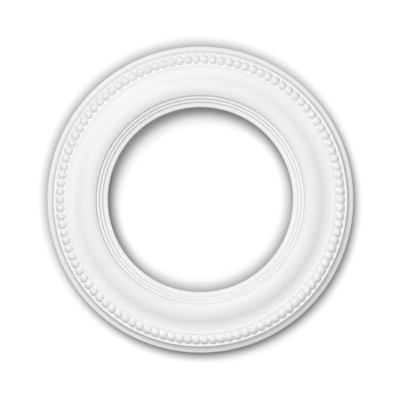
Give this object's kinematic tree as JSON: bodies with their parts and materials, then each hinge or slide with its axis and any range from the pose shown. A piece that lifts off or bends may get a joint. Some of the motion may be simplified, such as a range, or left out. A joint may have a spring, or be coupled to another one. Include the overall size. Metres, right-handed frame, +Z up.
{
  "type": "ceiling rose",
  "caption": "Flat ring ceiling rose with a round opening, a swept moulding that swells around small inner steps, a row of pearls and a plain stepped rim.",
  "frame": {"origin": "centre of the opening, in the plane of the flat back that lies against the ceiling", "axes": "+Z up along the ring's axis, out of the flat back and into the ceiling; the ornamented face looks down, to -Z; +X is any radius, through a gap between two pearls"},
  "size_m": [0.4, 0.4, 0.0252],
  "materials": {
    "primed_foam": "rigid polyurethane foam with a smooth moulded skin, factory primed matt white"
  },
  "bodies": {
    "root": {"ceiling_rose": "primed_foam"}
  },
  "joints": []
}
